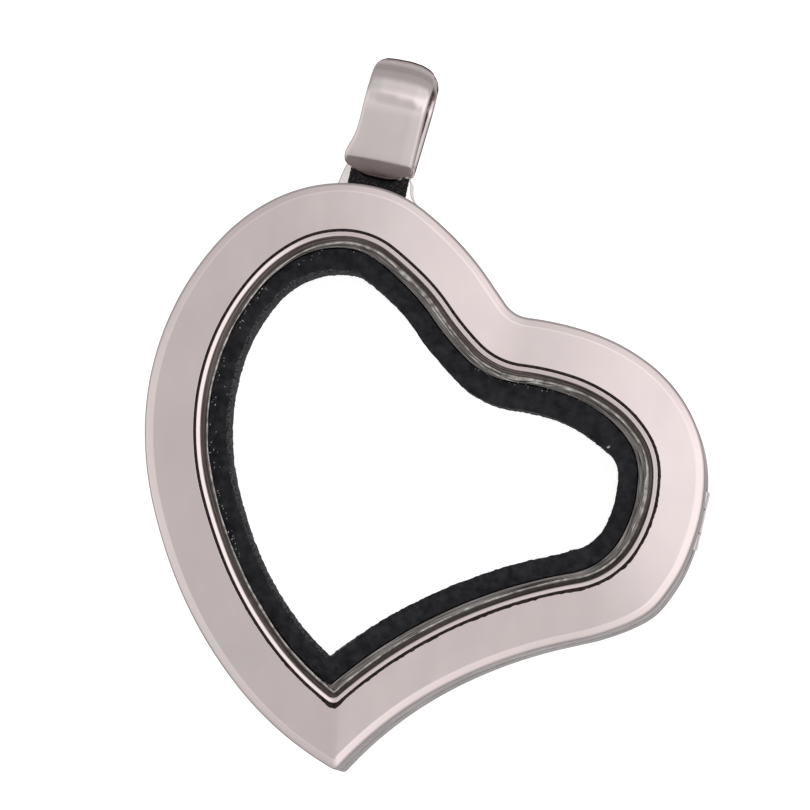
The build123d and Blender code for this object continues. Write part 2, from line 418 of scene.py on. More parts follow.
def noise(nodes, links, scale, detail=3.0, stretch=(1, 1, 1), swept=False):
    """A noise pattern at a scale per metre, on the piece's own place or along its sweep."""
    if swept:
        place = nodes.new("ShaderNodeAttribute")
        place.attribute_name = "sweep"
    else:
        place = nodes.new("ShaderNodeTexCoord")
    mapping = nodes.new("ShaderNodeMapping")
    set_inputs(mapping, {"Scale": stretch})
    pattern = nodes.new("ShaderNodeTexNoise")
    set_inputs(pattern, {"Scale": scale, "Detail": detail})
    links.new(place.outputs["Vector" if swept else "Object"], mapping.inputs["Vector"])
    links.new(mapping.outputs["Vector"], pattern.inputs["Vector"])
    return pattern.outputs["Fac"]


def spread(nodes, links, source, low, high, start=0.3, end=0.7, kind="LINEAR"):
    """Stretches a range of a value to run between two others."""
    scaled = nodes.new("ShaderNodeMapRange")
    scaled.interpolation_type = kind
    set_inputs(scaled, {"From Min": start, "From Max": end, "To Min": low, "To Max": high})
    links.new(source, scaled.inputs["Value"])
    return scaled.outputs["Result"]


def blend_colours(nodes, links, share, first, second):
    """A colour that runs from the first to the second with the share."""
    mix = nodes.new("ShaderNodeMix")
    mix.data_type = "RGBA"
    set_inputs(mix, {"A": (*first, 1), "B": (*second, 1)})
    links.new(share, mix.inputs["Factor"])
    return mix.outputs["Result"]


def bumps(nodes, links, shader, height, depth):
    """Gives the surface relief of this depth in millimetres."""
    bump = nodes.new("ShaderNodeBump")
    set_inputs(bump, {"Distance": depth * mm, "Strength": 1.0})
    links.new(height, bump.inputs["Height"])
    links.new(bump.outputs["Normal"], shader.inputs["Normal"])


def plated_metal(name, light, dark, roughness, waviness, grazing, metallic=1.0):
    """Rhodium plate with a faint cloudiness and the slight waves of hand polishing. It reflects
    this share of what plain metal does where it is seen at a grazing angle."""
    material, nodes, links, shader = empty_material(name)
    tint = (grazing, grazing, grazing, 1)
    set_inputs(shader, {"Metallic": metallic, "Specular IOR Level": 0.1, "Specular Tint": tint})
    share = spread(nodes, links, noise(nodes, links, 260, 4.0), 0.0, 1.0)
    links.new(blend_colours(nodes, links, share, light, dark), shader.inputs["Base Color"])
    smears = noise(nodes, links, 900, 5.0, (1, 0.35, 1))
    links.new(spread(nodes, links, smears, *roughness), shader.inputs["Roughness"])
    bumps(nodes, links, shader, noise(nodes, links, 420, 2.0), waviness)
    return material


def streaked_metal(name, dark, light, metallic, roughness, stretch, relief):
    """Unpolished metal that runs from a dark to a light colour in lines round the opening."""
    material, nodes, links, shader = empty_material(name)
    set_inputs(shader, {"Metallic": metallic, "Roughness": roughness})
    along, across = stretch
    lines = noise(nodes, links, 700, 4.0, (along, along, across), swept=True)
    share = spread(nodes, links, lines, 0.0, 1.0, 0.40, 0.70)
    links.new(blend_colours(nodes, links, share, dark, light), shader.inputs["Base Color"])
    bumps(nodes, links, shader, noise(nodes, links, 5200, 3.0), relief)
    return material


def matt_surface(name, colours, mottling, roughness, gloss, relief):
    """A dull surface mottled between two colours. The mottling is a pattern's scale and detail,
    and the range of it that runs from the first colour to the second."""
    material, nodes, links, shader = empty_material(name)
    scale, detail, start, end = mottling
    share = spread(nodes, links, noise(nodes, links, scale, detail), 0.0, 1.0, start, end)
    links.new(blend_colours(nodes, links, share, *colours), shader.inputs["Base Color"])
    set_inputs(shader, {"Roughness": roughness, "Specular IOR Level": gloss})
    bumps(nodes, links, shader, noise(nodes, links, scale * 0.8, 3.0), relief)
    return material


def clear_glass():
    """Clear glass that lets the light through and takes a gloss only where it is seen aslant."""
    material, nodes, links, shader = empty_material("clear_glass")
    set_inputs(shader, {"Base Color": (0.95, 0.95, 0.95, 1), "Metallic": 1.0, "Roughness": 0.02})
    clear = nodes.new("ShaderNodeBsdfTransparent")
    set_inputs(clear, {"Color": (0.997, 0.997, 0.997, 1)})
    gloss = nodes.new("ShaderNodeFresnel")
    set_inputs(gloss, {"IOR": 1.2})
    gloss_from_above = 0.0095
    mix = nodes.new("ShaderNodeMixShader")
    aslant = spread(nodes, links, gloss.outputs["Fac"], 0.0, 0.99, gloss_from_above, 1.0)
    links.new(aslant, mix.inputs["Fac"])
    links.new(clear.outputs["BSDF"], mix.inputs[1])
    links.new(shader.outputs["BSDF"], mix.inputs[2])
    links.new(mix.outputs["Shader"], nodes["Material Output"].inputs["Surface"])
    return material


# Waviness and relief are in millimetres
polished = plated_metal(
    "polished_rhodium",
    light=(0.775, 0.678, 0.676),
    dark=(0.735, 0.640, 0.645),
    roughness=(0.09, 0.16), waviness=0.0022, grazing=0.45,
)
# Painted shade: the outer side wall and the hinge's cuts are the same rhodium plate as the face,
# given this darker, duller copy so that they look as dark as the shade and the dark reflections on
# them
painted_shade_plate = plated_metal(
    "side_plate_painted_shade",
    light=(0.50, 0.452, 0.455),
    dark=(0.30, 0.268, 0.271),
    roughness=(0.30, 0.45), waviness=0.004, grazing=0.05, metallic=0.35,
)
# Painted reflection: the knuckles and the neck's flares are the same rhodium plate as the face,
# given this lighter copy so that they look as white as the light that they reflect
plate_painted_reflection = plated_metal(
    "hinge_plate_painted_reflection",
    light=(0.92, 0.85, 0.85),
    dark=(0.86, 0.79, 0.79),
    roughness=(0.2, 0.3), waviness=0.002, grazing=0.6,
)
strap_plate = plated_metal(
    "bail_plate",
    light=(0.79, 0.70, 0.70),
    dark=(0.73, 0.645, 0.65),
    roughness=(0.10, 0.20), waviness=0.004, grazing=0.0,
)
drawn_steel = plated_metal(
    "pin_steel",
    light=(0.50, 0.47, 0.46),
    dark=(0.40, 0.38, 0.37),
    roughness=(0.25, 0.35), waviness=0.004, grazing=0.3,
)
# Painted shade: the recess wall below the lip and the split's chamfer are the same plate as the
# face, given this dark streaked copy so that they look as dark as their shade and the dark ring
# that they reflect
wall_painted_shade = streaked_metal(
    "setting_wall_painted_shade",
    dark=(0.13, 0.100, 0.090),
    light=(0.66, 0.570, 0.540),
    metallic=1.0, roughness=0.30, stretch=(0.25, 30), relief=0.002,
)
ledge_metal = streaked_metal(
    "ledge_metal",
    dark=(0.060, 0.054, 0.051),
    light=(0.48, 0.445, 0.430),
    metallic=0.7, roughness=0.42, stretch=(0.6, 34), relief=0.003,
)
groove_residue = matt_surface(
    "groove_residue",
    colours=((0.012, 0.008, 0.009), (0.05, 0.036, 0.036)),
    mottling=(5000, 3, 0.35, 0.75),
    roughness=0.8, gloss=0.1, relief=0.01,
)
rubber = matt_surface(
    "magnet_rubber",
    colours=((0.020, 0.020, 0.0235), (0.046, 0.046, 0.052)),
    mottling=(2200, 5, 0.35, 0.75),
    roughness=0.95, gloss=0.04, relief=0.002,
)
cut_rubber = matt_surface(
    "cut_magnet_rubber",
    colours=((0.018, 0.018, 0.021), (0.12, 0.12, 0.125)),
    mottling=(9000, 4, 0.38, 0.68),
    roughness=0.95, gloss=0.1, relief=0.006,
)
glass = clear_glass()
glue = matt_surface(
    "dried_glue",
    colours=((0.16, 0.15, 0.14), (0.66, 0.63, 0.61)),
    mottling=(2600, 4, 0.35, 0.65),
    roughness=0.25, gloss=0.6, relief=0.004,
)
pale_lint = matt_surface(
    "pale_lint",
    colours=((0.35, 0.35, 0.36), (0.85, 0.85, 0.86)),
    mottling=(6000, 2, 0.3, 0.7),
    roughness=0.9, gloss=0.3, relief=0.004,
)
# Painted shade: the near-black of the sheet on the neck's front, which lies in shade under the bail
neck_painted_shade = matt_surface(
    "neck_painted_shade",
    colours=((0.012, 0.011, 0.012), (0.15, 0.14, 0.138)),
    mottling=(14000, 3, 0.55, 0.72),
    roughness=0.7, gloss=0.25, relief=0.03,
)

# The numbers of the case's material slots
# The side slot holds the plate's darker copy, which is painted shade
# The wall slot holds the dark streaked copy of the plate, which is painted shade
polish, side, wall, seat, residue = range(5)
case_finishes = (polished, painted_shade_plate, wall_painted_shade, ledge_metal, groove_residue)


def dress(piece, materials, body):
    """Gives a piece its materials and the body it moves with."""
    for material in materials:
        piece.data.materials.append(material)
    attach(piece, body)


# Places across the rim, counted inwards from the outline on the left side, and heights within one
# half from its split face
lip_place = rim_width + groove_width
recess_place = lip_place + lip_width
pocket_place = recess_place + ledge_width
half_height = (case_thickness - split_gap) / 2
glass_top = half_height - glass_recess
glass_bottom = glass_top - glass_thickness
split_height = case_thickness / 2
front_base = split_height + split_gap / 2
back_base = split_height - split_gap / 2

# The rim's cross-section: a soft outer edge, a face that falls slightly outwards, a groove, and a
# lip that leans in and slopes down to the glass
edge_band = 0.44
edge_step = 0.11
edge_drop = 0.27
face_fall = 0.07
flat_start = edge_band + 0.20
flat_end = rim_width - 0.15
groove_floor = 0.12
lip_lean = 0.03
lip_overhang = 0.03
lip_top_width = 0.19
slope_foot = 0.66
slope_clearance = 0.015
ledge_clearance = 0.012
split_chamfer = 0.15
mitre_round = 0.45


def on_outer_side(across):
    """Whether a place across the rim follows the outline rather than the inner edge."""
    return across < rim_width / 2


def face_height(across):
    """The height of the rim's face, which falls slightly towards the outline."""
    return half_height - face_fall * (rim_width - across) / (rim_width - edge_band)


# Columns: place across, height, softness, roundness at the heart's tip, 1 where it follows the
# magnet's pocket, and the finish of the face that leads to it
rim_corners = (
    (split_chamfer, 0.0, 0.0, 0.30, 0, polish),
    (0.0, split_chamfer, 0.0, 0.30, 0, wall),
    (0.0, half_height - edge_drop, 0.13, 0.30, 0, side),
    (edge_step, half_height - edge_drop + edge_step, 0.07, 0.30, 0, polish),
    (edge_band, face_height(edge_band), 0.07, 0.30, 0, polish),
    (flat_start, face_height(flat_start), 0.0, mitre_round, 0, polish),
    (flat_end, face_height(flat_end), 0.0, mitre_round, 0, polish),
    (rim_width, half_height, 0.02, 0.40, 0, polish),
    (rim_width, half_height - groove_floor, 0.0, 0.40, 0, residue),
    (lip_place, half_height - groove_floor, 0.0, 0.45, 0, residue),
    (lip_place - lip_overhang, half_height, 0.05, 0.50, 0, polish),
    (lip_place + lip_top_width, half_height - lip_lean, 0.05, 0.40, 0, polish),
    (rim_width + slope_foot, glass_top + slope_clearance, 0.0, 0.12, 0, wall),
    (recess_place, glass_top + slope_clearance, 0.0, 0.12, 0, wall),
    (recess_place, glass_bottom - ledge_clearance, 0.0, 0.12, 0, wall),
    (pocket_place, glass_bottom - ledge_clearance, 0.04, 0.15, 1, seat),
    (pocket_place, 0.0, 0.10, 0.15, 1, polish),
)

# Where the outline's soft corner at the lower right stands out and dips: place from the middle of
# the heart, how far out and how wide
outline_bumps = (
    (14.60, -5.70, 0.07, 1.2),
    (13.10, -7.60, 0.15, 1.3),
    (10.40, -8.92, -0.07, 1.2),
)


def bumps_near(places, bumps_list):
    """How far each place is moved by a list of bumps, each with a place, a size and a width."""
    found = []
    for x, y, _ in places:
        total = 0.0
        for bump_x, bump_y, size, width in bumps_list:
            away = hypot(x - outline_x - bump_x, y - outline_y - bump_y)
            total += size * exp(-((away / width) ** 2))
        found.append(total)
    return found


def half_rim(name, base, direction, shift):
    """One half of the case. Its heights count from the base, upwards or downwards."""
    inwards = [-size for size in bumps_near(heart_headings(outer_arcs), outline_bumps)]
    loops = []
    finishes = []
    for across, height, tip_round, in_pocket, finish in soft_corners(rim_corners):
        move = shift if in_pocket else (0.0, 0.0)
        level = base + direction * height
        if on_outer_side(across):
            loops.append(heart_loop(outer_arcs, across, level, tip_round, move, inwards))
        else:
            loops.append(heart_loop(inner_arcs, across - rim_width, level, tip_round, move))
        finishes.append(finish)
    return swept_ring(name, loops, finishes)


# The residue in the groove: its thickness, its roundness at the heart's tip, and how far the blob
# at the tip reaches and spreads
crust_depth = 0.08
crust_tip_round = 0.4
blob_reach = 0.10
blob_spread = 0.55


def raggedness(x, y):
    """0 at the top left of the heart and 1 at its lower right."""
    return between(4.0, -8.0, y) * between(-15.0, 2.0, x)


def groove_crust(name, base, direction, lift, seed, body):
    """The black residue in the groove, close to flush with the face, ragged along the lower right
    and with a blob at the tip."""
    fineness = 3
    places = heart_headings(inner_arcs, 0.0, crust_tip_round, fineness)
    coarse = wavering(seed, 0.035, (23, 41, 77, 130), 0.0, fineness)
    fine = wavering(seed + 1, 0.02, (160, 233, 310), 0.012, fineness)
    outer_edge = []
    inner_edge = []
    tip_x, tip_y = tip_of(inner_arcs, 0.0)
    for (x, y, _), slow, quick in zip(places, coarse, fine):
        share = raggedness(x, y)
        blob = blob_reach * exp(-((hypot(x - tip_x, y - tip_y) / blob_spread) ** 2))
        outer_edge.append(0.015 - 0.045 * share - blob + (slow + quick) * (0.3 + 0.9 * share))
        inner_edge.append(groove_width - 0.012 + 0.35 * quick)
    corners = (
        (outer_edge, 0.0),
        (inner_edge, 0.0),
        (inner_edge, crust_depth),
        (outer_edge, crust_depth),
    )
    loops = []
    for edge, drop in corners:
        level = base + direction * (half_height + lift - drop)
        loops.append(
            heart_loop(inner_arcs, 0.0, level, crust_tip_round, waver=edge, fineness=fineness)
        )
    piece = swept_ring(name, loops)
    finish_mesh(piece)
    dress(piece, (groove_residue,), body)


# The hinge's place and axis come with the joint
hinge = frame["joints"][0]
hinge_point = Vector(hinge["pos_m"])
hinge_axis = Vector(hinge["axis"]).normalized()
door_knuckle_end = door_knuckle_length / 2
case_knuckle_start = door_knuckle_end + knuckle_gap
knuckle_end = hinge_length / 2
door_spans = ((-door_knuckle_end, door_knuckle_end),)
case_spans = ((case_knuckle_start, knuckle_end), (-knuckle_end, -case_knuckle_start))

# The room round the pin in a knuckle, and how far the ends of the knuckles and the pin are rounded
bore_clearance = 0.02
knuckle_edge = 0.04
pin_edge = 0.10


def hinge_rod(name, radius, low, high, segments=40):
    """A round bar on the hinge axis between two places along it."""
    clear_selection()
    bpy.ops.mesh.primitive_cylinder_add(
        vertices=segments, radius=radius * mm, depth=(high - low) * mm
    )
    rod = new_piece(name)
    turn = Vector((0, 0, 1)).rotation_difference(hinge_axis).to_matrix().to_4x4()
    along = hinge_axis * (low + high) / 2 * mm
    rod.data.transform(Matrix.Translation(hinge_point + along) @ turn)
    return rod


def clear_the_hinge(half, other_spans):
    """Cuts the room that the hinge and the other half's knuckles need in a half of the case, and
    gives the faces of the cuts the side's darker copy of the plate, which is painted shade."""
    end = relief_length / 2
    reach = knuckle_radius + swing_clearance
    cut_with(half, hinge_rod("relief_cut", relief_radius, -end, end))
    for low, high in other_spans:
        cut_with(half, hinge_rod("swing_cut", reach, low - knuckle_gap, high + knuckle_gap))
    for face in half.data.polygons:
        from_hinge = face.center - hinge_point
        along = from_hinge.dot(hinge_axis)
        away = (from_hinge - hinge_axis * along).length
        if abs(along) < end * mm and away < (reach + 0.01) * mm:
            face.material_index = side


def knuckle(name, low, high, body):
    """A knuckle of the hinge: a short barrel with softened ends and its bore."""
    barrel = hinge_rod(name, knuckle_radius, low, high, 48)
    cut_with(barrel, hinge_rod("bore", pin_radius + bore_clearance, low - 1, high + 1, 32))
    apply_modifier(barrel, "BEVEL", width=knuckle_edge * mm, segments=3, limit_method="ANGLE")
    finish_mesh(barrel)
    # The lighter copy of the plate is painted reflection
    dress(barrel, (plate_painted_reflection,), body)


def rims_and_hinge():
    """Both halves of the case with their knuckles, and the pin."""
    front = half_rim("door_rim", front_base, 1, front_ring_shift)
    clear_the_hinge(front, case_spans)
    finish_mesh(front)
    dress(front, case_finishes, "door")
    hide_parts("door_frame")
    back = half_rim("back_rim", back_base, -1, back_ring_shift)
    clear_the_hinge(back, door_spans)
    finish_mesh(back)
    dress(back, case_finishes, "case")
    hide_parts("back_case")
    for low, high in door_spans:
        knuckle("door_knuckle", low, high, "door")
    for number, (low, high) in enumerate(case_spans, 1):
        knuckle(f"case_knuckle_{number}", low, high, "case")
    pin = hinge_rod("peened_pin", pin_radius, -knuckle_end, knuckle_end, 32)
    apply_modifier(pin, "BEVEL", width=pin_edge * mm, segments=4, limit_method="ANGLE")
    finish_mesh(pin)
    dress(pin, (drawn_steel,), "case")
    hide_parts("hinge_pin")


# A pane's roundness at the heart's tip and the width of its ground edge
pane_tip_round = 0.25
ground_edge = 0.06


def pane(name, node, base, direction, body):
    """A flat pane of glass with ground edges."""
    low = min(base + direction * glass_bottom, base + direction * glass_top)
    inset = recess_place - rim_width + glass_clearance
    places = heart_loop(inner_arcs, inset, low, pane_tip_round)
    piece = raised_plate(name, places, glass_thickness, ground_edge, 1)
    dress(piece, (glass,), body)
    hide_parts(node)


# The strip's cut edge: its roundness at the heart's tip, how wide the frayed band on the left is,
# how deep it falls, and its bumps, with their place from the middle of the heart, size and width
strip_tip_round = 0.15
frayed_width = 0.16
frayed_drop = 0.05
strip_bumps = (
    (8.9, -4.45, 0.10, 0.35),
    (1.0, 6.4, 0.07, 0.22),
    (1.85, 5.05, 0.07, 0.25),
    (3.7, 7.5, 0.05, 0.25),
)


def magnet_ring(name, node, base, direction, strip_widths, shift, seed, body):
    """A black strip that lines the pocket, with an inner edge cut ragged by hand."""
    fineness = 3
    outer = pocket_place - rim_width + ring_clearance
    insets = [rim + outer + strip for rim, strip in zip(rim_widths, strip_widths)]
    opening = joined(outline_pairs(insets))
    top = glass_bottom - ring_face_gap
    cut_top = wavering(seed, 0.028, (9, 17, 41, 83, 190), 0.02, fineness)
    cut_low = wavering(seed + 1, 0.035, (7, 19, 37, 71, 120, 210), 0.014, fineness)
    places = heart_headings(opening, 0.0, strip_tip_round, fineness)
    cut_top = [cut + bump for cut, bump in zip(cut_top, bumps_near(places, strip_bumps))]
    frayed = wavering(seed + 2, 0.06, (23, 47, 90, 170), 0.02, fineness)
    cut_band = [
        cut - (frayed_width + loose) * between(0.0, -5.0, place[0] - outline_x)
        for cut, loose, place in zip(cut_top, frayed, places)
    ]
    # Columns: place across, height, softness, whether it is at the opening, its unevenness and its
    # finish, 1 being the cut edge
    corners = (
        (0.0, 0.02, 0.03, False, None, 0),
        (0.0, top, 0.06, False, None, 0),
        (1.0, top, 0.0, True, cut_band, 0),
        (1.0, top - frayed_drop, 0.04, True, cut_top, 1),
        (1.0, top * 0.66, 0.0, True, cut_low, 1),
        (1.0, top * 0.33, 0.0, True, cut_top, 1),
        (1.0, 0.02, 0.06, True, cut_low, 1),
    )
    loops = []
    finishes = []
    for across, height, at_opening, waver, finish in soft_corners(corners, 2):
        finishes.append(finish)
        level = base + direction * height
        arcs = opening if at_opening else inner_arcs
        inset = across - 1.0 if at_opening else outer + across
        loops.append(heart_loop(arcs, inset, level, strip_tip_round, shift, waver, fineness))
    piece = swept_ring(name, loops, finishes)
    finish_mesh(piece, 40)
    dress(piece, (rubber, cut_rubber), body)
    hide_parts(node)


# The glue's lines: how finely they follow the heart, their roundness at its tip, how high their
# middle lies above the glass and half their own height
glue_fineness = 2
glue_tip_round = 0.3
glue_lift = 0.012
glue_half_height = 0.014


def glue_line(name, base, direction, middle, half_widths, body):
    """An uneven line of dried glue that lies on the glass. Its middle counts from the rim's inner
    edge, and it and the half width have a number for each place along the line."""
    sides = 8
    loops = []
    for step in range(sides):
        turn = 2 * pi * step / sides
        edge = [place + half * cos(turn) for place, half in zip(middle, half_widths)]
        height = base + direction * (glass_top + glue_lift + glue_half_height * sin(turn))
        loops.append(
            heart_loop(inner_arcs, 0.0, height, glue_tip_round, waver=edge, fineness=glue_fineness)
        )
    piece = swept_ring(name, loops)
    finish_mesh(piece, 60)
    dress(piece, (glue,), body)


# Where each smear of glue starts and ends as a share of the way round from the tip, how far in
# from the foot of the slope it lies, and its half width
glue_smears = (
    (0.45, 0.62, 0.19, 0.05),
    (0.40, 0.53, 0.11, 0.03),
    (0.545, 0.60, 0.27, 0.035),
    (0.70, 0.79, 0.16, 0.045),
)


def glue_lines(side_name, base, direction, seed, body):
    """The thin line at the foot of the slope, and the smears beside it at the top right."""
    slow = wavering(seed, 0.03, (5, 11, 23, 44), 0.0, glue_fineness)
    width = wavering(seed + 1, 0.02, (13, 31, 47), 0.0, glue_fineness)
    line_middle = [slope_foot + 0.04 + value for value in slow]
    line_width = [0.045 + value for value in width]
    glue_line(f"{side_name}_glue", base, direction, line_middle, line_width, body)
    total = len(slow)
    for number, (start, end, reach, thickness) in enumerate(glue_smears, 1):
        drift = wavering(seed + 10 * number, 0.05, (17, 29, 53), 0.0, glue_fineness)
        lumps = wavering(seed + 10 * number + 1, 1.0, (19, 31, 47), 0.0, glue_fineness)
        middle = []
        halves = []
        for place in range(total):
            fade = sin(pi * between(start, end, place / total)) ** 0.5
            middle.append(slope_foot + reach * fade + drift[place] * fade)
            halves.append(0.004 + thickness * fade * max(0.0, 0.55 + lumps[place]))
        glue_line(f"{side_name}_smear_{number}", base, direction, middle, halves, body)


def crumbs(name, spots, body):
    """Small irregular crumbs of lint joined into one piece. A spot is its place in millimetres,
    its length, its width and the direction that it lies in."""
    chance = random.Random(name)
    clear_selection()
    parts = []
    for x, y, z, length, width, direction in spots:
        bpy.ops.mesh.primitive_ico_sphere_add(subdivisions=2, radius=mm / 2)
        part = bpy.context.active_object
        for vertex in part.data.vertices:
            vertex.co *= chance.uniform(0.75, 1.25)
        size = Matrix.Diagonal((length, width, min(width, 0.05), 1))
        turn = Matrix.Rotation(direction, 4, "Z")
        part.data.transform(Matrix.Translation(Vector((x, y, z)) * mm) @ turn @ size)
        parts.append(part)
    clear_selection()
    for part in parts:
        part.select_set(True)
    bpy.context.view_layer.objects.active = parts[0]
    bpy.ops.object.join()
    piece = new_piece(name)
    finish_mesh(piece, 60)
    dress(piece, (pale_lint,), body)


# Where lint lies on the strip. Columns: start and end as shares of the way round, place in from
# the rim's inner edge, how uneven that is, how many spots and their size
lint_lanes = (
    (0.14, 0.34, 0.84, 0.08, 46, 0.07),
    (0.20, 0.30, 1.25, 0.30, 9, 0.05),
    (0.36, 0.52, 1.05, 0.12, 16, 0.055),
    (0.52, 0.62, 1.05, 0.10, 24, 0.06),
)


def lint_spots(seed, level):
    """Spots of lint scattered along the lanes, as the crumbs need them."""
    chance = random.Random(seed)
    places = heart_headings(inner_arcs, 0.0, glue_tip_round, glue_fineness)
    spots = []
    for start, end, inset, uneven, number, size in lint_lanes:
        for _ in range(number):
            x, y, heading = places[int(chance.uniform(start, end) * len(places))]
            reach = inset + chance.gauss(0, uneven)
            length = size * chance.uniform(0.5, 1.6)
            width = size * chance.uniform(0.4, 0.9)
            turn = chance.uniform(0, pi)
            spots.append(
                (x + reach * sin(heading), y - reach * cos(heading), level, length, width, turn)
            )
    return spots


# The bail stands where the outline's normal has the place angle, and leans a little more upright
# itself. Its own X runs across the strap, its Y stands up from the outline and its Z is the
# locket's Z.
bail_direction = radians(bail_normal_angle)
bail_arc = outer_pairs[station_names.index("top")][0]
bail_edge = on_arc(bail_arc, radians(bail_place_angle) - pi / 2)
bail_up = Vector((cos(bail_direction), sin(bail_direction), 0))
bail_across = Vector((sin(bail_direction), -cos(bail_direction), 0))


def bail_point(across, up, height):
    """A place on the bail's own axes, in metres in the locket's frame."""
    foot = Vector((*bail_edge, height))
    return (foot + bail_across * across + bail_up * up) * mm


# How much narrower than the solid one the strap is on either side, and the bulge on its left: its
# height above the heart's edge, how far it spreads and how far it stands out
right_trim = 0.03
left_trim = 0.06
bulge_height = 1.55
bulge_spread = 0.9
bulge_reach = 0.36


def strap_half_width(up, on_left):
    """The strap's width from its middle to one side, at a height above the heart's edge."""
    half = bail_top_width / 2 - right_trim
    if on_left:
        bulge = bulge_reach * exp(-(((up - bulge_height) / bulge_spread) ** 2))
        half = bail_top_width / 2 - left_trim + bulge
    corner = bail_height + bail_trim_margin - bail_corner_round
    if up > corner:
        rise = min(1.0, (up - corner) / bail_corner_round)
        half -= bail_corner_round * (1 - sqrt(1 - rise**2))
    low = bail_foot_gap - bail_trim_margin
    sag = bail_foot_sag + bail_trim_margin
    if up < low + sag:
        half *= sqrt(max(0.0, up - low) / sag)
    return half


def strap_path(shrink, round_steps=18, straight_steps=8):
    """The teardrop that the strap follows, as heights above the edge and places in depth. It runs
    over the top, down the back, round the foot and up the front."""
    foot_centre = bail_foot_gap + bail_foot_radius
    top_centre = bail_height - bail_top_radius
    lean = atan2(bail_top_radius - bail_foot_radius, top_centre - foot_centre)

    def at_top(turn):
        reach = bail_top_radius - shrink
        return (top_centre + reach * sin(turn), reach * cos(turn))

    def at_foot(turn):
        reach = bail_foot_radius - shrink
        return (foot_centre + reach * sin(turn), reach * cos(turn))

    def straight(start, end):
        shares = [step / straight_steps for step in range(1, straight_steps)]
        return [tuple(a + (b - a) * share for a, b in zip(start, end)) for share in shares]

    back = pi + lean
    shares = [step / round_steps for step in range(round_steps + 1)]
    path = [at_top(-lean + (pi + 2 * lean) * share) for share in shares]
    path += straight(at_top(back), at_foot(back))
    path += [at_foot(back + (pi - 2 * lean) * share) for share in shares]
    path += straight(at_foot(-lean), at_top(-lean))
    return path


# How much lower the strap's upper right corner lies than the left one, the height at which that
# starts, and how far the strap leans to the right for each millimetre that it rises
top_corner_drop = 0.24
drop_start = 4.5
strap_lean = 0.05

# The strap's cross-section. Columns: place across as a share of half its width, depth below its
# outer surface, softness
strap_corners = (
    (-1.0, 0.07, 0.13),
    (-0.6, 0.012, 0.10),
    (0.0, 0.0, 0.10),
    (0.6, 0.012, 0.10),
    (1.0, 0.07, 0.13),
    (1.0, bail_strap_thickness - 0.05, 0.10),
    (0.0, bail_strap_thickness, 0.0),
    (-1.0, bail_strap_thickness - 0.05, 0.10),
)


def bail_strap():
    """The strap bent into a closed teardrop, a little crowned, with soft edges."""
    outside = strap_path(0.0)
    loops = []
    for across, depth in soft_corners(strap_corners, 4):
        loop = []
        for (up, _), (height_up, out) in zip(outside, strap_path(depth)):
            half = strap_half_width(up, across < 0)
            drop = top_corner_drop * max(0.0, across) ** 2 * between(drop_start, bail_height, up)
            place = across * half + strap_lean * (up - bail_height / 2)
            loop.append(bail_point(place, height_up - drop, split_height + out))
        loops.append(loop)
    piece = swept_ring("bail_strap", loops)
    finish_mesh(piece, 50)
    dress(piece, (strap_plate,), "case")


# The neck's outline on the bail's axes, with a steep flare on the left and a hollow one on the
# right, and the width of its bevelled edge
neck_outline = (
    (-2.60, -1.25),
    (2.28, -1.25),
    (2.28, -0.30),
    (2.05, -0.14),
    (1.90, -0.01),
    (1.78, 0.12),
    (1.68, 0.30),
    (1.60, 0.55),
    (1.55, 0.83),
    (1.48, 1.08),
    (-1.85, 1.45),
    (-2.12, 1.22),
    (-2.24, 0.70),
    (-2.33, 0.25),
    (-2.42, -0.08),
    (-2.60, -0.27),
)
neck_edge = 0.12


def bail_neck():
    """The block that carries the bail, flared where it meets the rim."""
    places = [bail_point(across, up, neck_low) for across, up in neck_outline]
    piece = raised_plate("bail_neck", places, neck_high - neck_low, neck_edge, 3)
    # The lighter copy of the plate is painted reflection
    dress(piece, (plate_painted_reflection,), "case")


def neck_shade_sheet():
    """A thin dark sheet on the neck's front between its two flares, roughened, which is painted
    shade where the neck lies set back under the bail.
    """
    root = -0.4
    top = bail_foot_gap + bail_strap_thickness / 2
    front_width = neck_width * 0.985
    front_lift = 0.01
    front_thickness = 0.05
    roughest = 0.035
    clear_selection()
    bpy.ops.mesh.primitive_grid_add(x_subdivisions=24, y_subdivisions=18, size=1.0)
    piece = new_piece("bail_neck_shade_sheet")
    chance = random.Random(3)
    for vertex in piece.data.vertices:
        across = neck_shift + vertex.co.x * front_width
        up = root + (vertex.co.y + 0.5) * (top - root)
        on_edge = abs(vertex.co.x) > 0.49
        rough = 0.0 if on_edge else chance.uniform(0.0, roughest)
        across += chance.uniform(-0.02, 0.02)
        vertex.co = bail_point(across, up, neck_high + front_lift + rough)
    apply_modifier(piece, "SOLIDIFY", thickness=front_thickness * mm, offset=-1.0)
    finish_mesh(piece, 50)
    dress(piece, (neck_painted_shade,), "case")


rims_and_hinge()
pane("front_pane", "front_glass", front_base, 1, "door")
pane("back_pane", "back_glass", back_base, -1, "case")
magnet_ring(
    "front_magnet", "front_magnet_ring", front_base, 1,
    front_strip_widths, front_ring_shift, seed=21, body="door",
)
magnet_ring(
    "back_magnet", "back_magnet_ring", back_base, -1,
    back_strip_widths, back_ring_shift, seed=34, body="case",
)
groove_crust("front_groove_crust", front_base, 1, lift=0.004, seed=11, body="door")
groove_crust("back_groove_crust", back_base, -1, lift=-0.004, seed=12, body="case")
glue_lines("front", front_base, 1, seed=5, body="door")
glue_lines("back", back_base, -1, seed=6, body="case")
lint_level = front_base + glass_bottom - 0.5 * ring_face_gap
fleck = (9.70, -2.09, front_base + glass_bottom, 0.19, 0.12, 0.5)
crumbs("strip_lint", lint_spots(7, lint_level) + [fleck], "door")
bail_strap()
bail_neck()
neck_shade_sheet()


# Floor, light and camera


